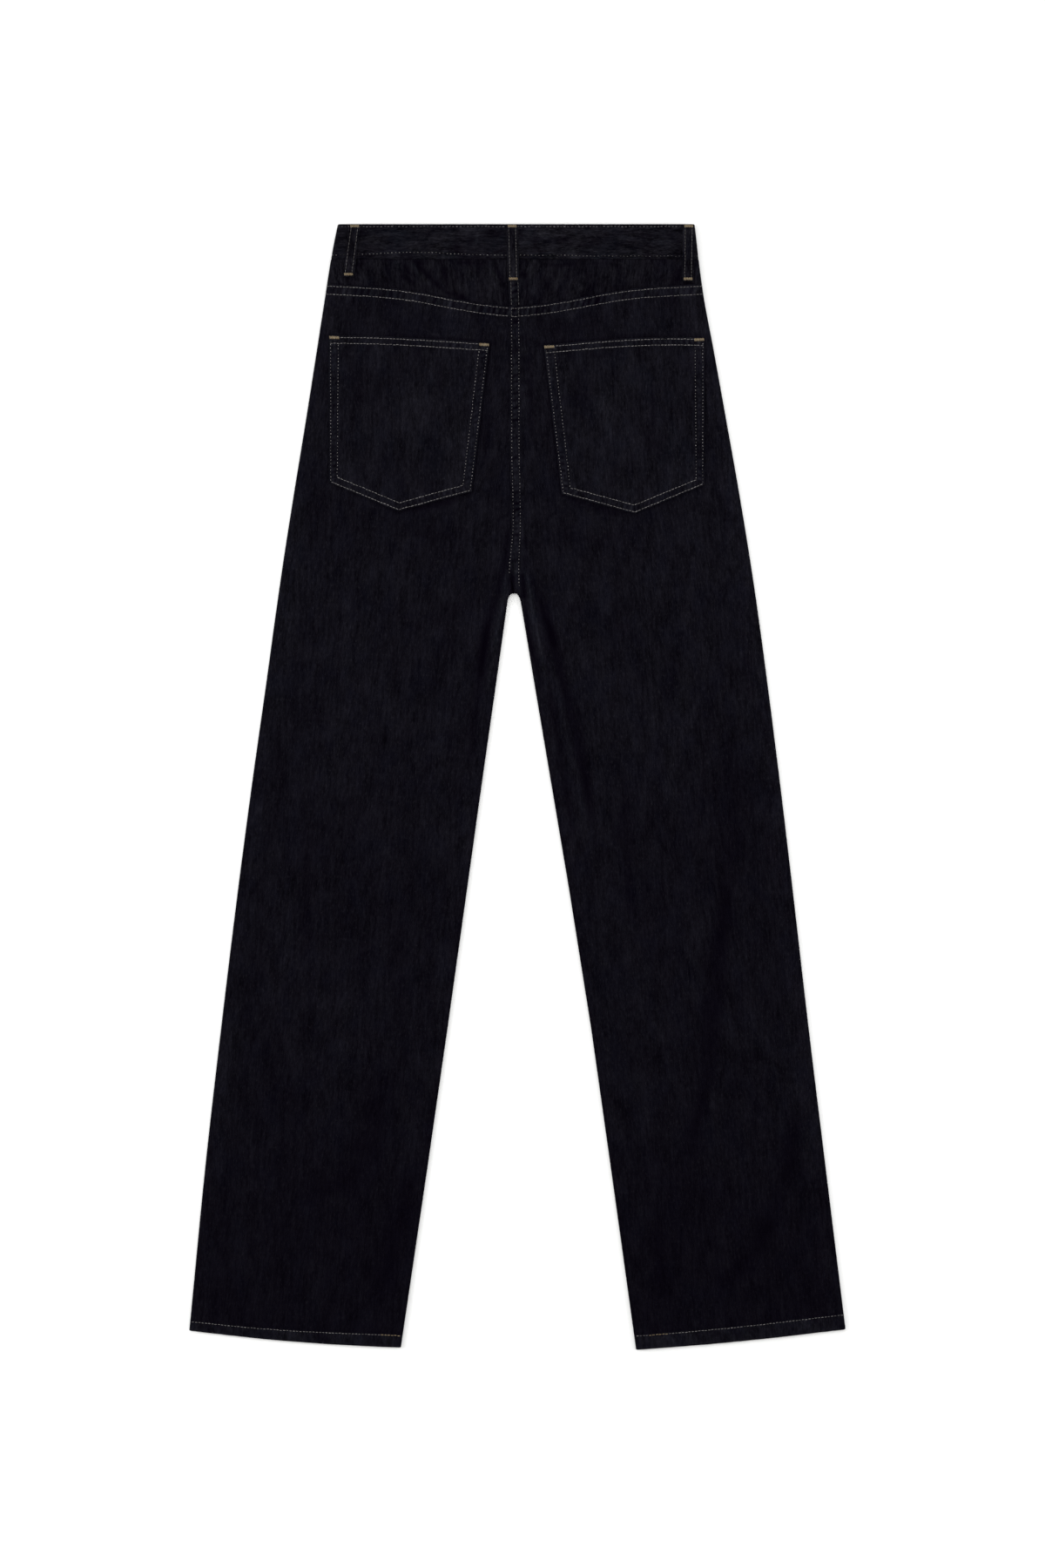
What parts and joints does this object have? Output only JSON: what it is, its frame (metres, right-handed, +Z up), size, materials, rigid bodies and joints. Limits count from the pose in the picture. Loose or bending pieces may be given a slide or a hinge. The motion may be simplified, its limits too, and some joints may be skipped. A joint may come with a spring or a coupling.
{
  "type": "straight leg jeans",
  "caption": "Straight leg jeans in near-black raw denim, laid flat with the back up, with a pointed yoke, patch back pockets, waistband and belt loops.",
  "frame": {"origin": "on the surface that the garment lies on, under the middle of its bounding box", "axes": "+X across the garment towards the wearer's right leg, +Y from the hems to the waist, +Z up, the way its back faces"},
  "size_m": [0.6411, 1.0982, 0.011],
  "materials": {
    "denim": "matte",
    "topstitch_thread": "matte",
    "bar_tack_thread": "matte",
    "zip_tape": "matte",
    "button_brass": "satin"
  },
  "bodies": {
    "root": {"back_panel_left": "denim", "back_panel_right": "denim", "front_panel_left": "denim", "front_panel_right": "denim", "yoke_left": "denim", "yoke_right": "denim", "pocket_facing_left": "denim", "pocket_facing_right": "denim", "back_pocket_left": "denim", "back_pocket_right": "denim", "waistband": "denim", "belt_loop_back_centre": "denim", "belt_loop_back_left": "denim", "belt_loop_back_right": "denim", "belt_loop_front_left": "denim", "belt_loop_front_right": "denim", "fly_shield": "denim", "zip": "zip_tape", "waist_button": "button_brass"}
  },
  "joints": []
}
